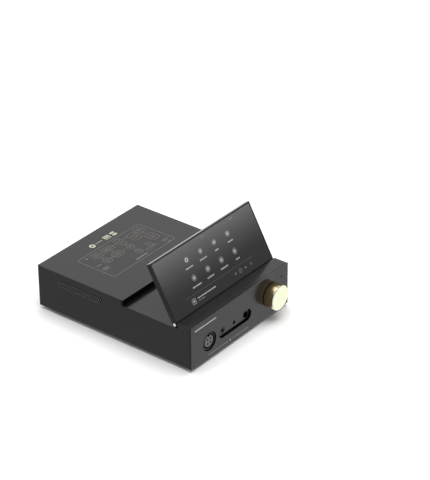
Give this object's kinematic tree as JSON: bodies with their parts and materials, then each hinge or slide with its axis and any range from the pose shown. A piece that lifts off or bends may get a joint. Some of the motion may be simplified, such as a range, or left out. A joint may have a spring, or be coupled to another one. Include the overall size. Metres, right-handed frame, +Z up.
{
  "type": "desktop dac",
  "caption": "Black desktop audio converter and headphone amplifier with a tilting touch screen, a brass volume knob and front headphone sockets.",
  "frame": {"origin": "on the surface the feet stand on, at the middle of the whole footprint with the knob and the rear sockets", "axes": "+X to the right along the front, +Y to the back, +Z up"},
  "size_m": [0.188, 0.259, 0.1263],
  "materials": {
    "black_aluminium": "fine bead blasted black anodising, satin",
    "screen_aluminium": "black anodised with bright chamfered edges",
    "polished_brass": "polished pale gold with fine turning lines",
    "screen_glass": "gloss, dark display behind it",
    "black_plastic": "fine moulded texture",
    "dark_rubber": "matt",
    "plated_metal": "nickel plated",
    "gold_plate": "gold plated",
    "steel_sheet": "dark coated steel",
    "circuit_board": "solder mask over glass fibre",
    "capacitor_sleeve": "shrink sleeve",
    "clear_window": "smoked light pipe"
  },
  "bodies": {
    "case": {"main_housing": "black_aluminium", "front_panel": "black_aluminium", "rear_panel": "black_aluminium", "bottom_plate": "steel_sheet", "radio_window": "black_plastic", "radio_aerial": "circuit_board", "foot_front_left": "dark_rubber", "foot_front_right": "dark_rubber", "foot_rear_left": "dark_rubber", "foot_rear_right": "dark_rubber", "base_screw_1": "steel_sheet", "base_screw_2": "steel_sheet", "base_screw_3": "steel_sheet", "base_screw_4": "steel_sheet", "rear_screw_left": "steel_sheet", "rear_screw_right": "steel_sheet", "hinge_bracket_left": "steel_sheet", "hinge_bracket_right": "steel_sheet", "socket_bezel": "black_aluminium", "xlr_shell": "black_plastic", "xlr_insert": "black_plastic", "balanced_jack": "black_plastic", "balanced_jack_ring": "gold_plate", "small_jack": "black_plastic", "headphone_jack": "black_plastic", "socket_board": "circuit_board", "encoder_body": "black_plastic", "encoder_nut": "plated_metal", "status_light": "clear_window", "remote_sensor_window": "clear_window", "main_board": "circuit_board", "power_board": "circuit_board", "mains_transformer": "capacitor_sleeve", "reservoir_capacitor_1": "capacitor_sleeve", "reservoir_capacitor_2": "capacitor_sleeve", "reservoir_capacitor_3": "capacitor_sleeve", "reservoir_capacitor_4": "capacitor_sleeve", "amplifier_heatsink": "steel_sheet", "streaming_module": "steel_sheet", "converter_shield": "steel_sheet", "power_inlet": "black_plastic", "switch_bezel": "black_plastic", "xlr_output_left": "black_plastic", "xlr_output_right": "black_plastic", "phono_output_left": "gold_plate", "phono_output_right": "gold_plate", "coaxial_input": "gold_plate", "usb_socket": "plated_metal", "ethernet_socket": "plated_metal", "screen_cable": "capacitor_sleeve"},
    "screen": {"screen_frame": "screen_aluminium", "screen_glass": "screen_glass", "display_panel": "black_plastic", "screen_board": "circuit_board", "hinge_pin_left": "plated_metal", "hinge_pin_right": "plated_metal"},
    "knob_push": {"push_plunger": "black_plastic"},
    "knob": {"volume_knob": "polished_brass", "encoder_shaft": "plated_metal"},
    "rocker": {"power_rocker": "black_plastic"}
  },
  "joints": [
    {"name": "screen_tilt", "type": "hinge", "parent": "case", "child": "screen", "pos_m": [0, -0.09095, 0.057], "axis": [1, 0, 0], "range_deg": [-61, 4]},
    {"name": "volume_push", "type": "slide", "parent": "case", "child": "knob_push", "axis": [0, 1, 0], "range_m": [0, 0.0006], "stiffness_N_per_m": 2000},
    {"name": "volume_turn", "type": "hinge", "parent": "knob_push", "child": "knob", "pos_m": [0.0601, -0.11555, 0.0324], "axis": [0, 1, 0], "continuous": true},
    {"name": "power_rock", "type": "hinge", "parent": "case", "child": "rocker", "pos_m": [-0.042, 0.11625, 0.0312], "axis": [1, 0, 0], "range_deg": [0, 16]}
  ]
}
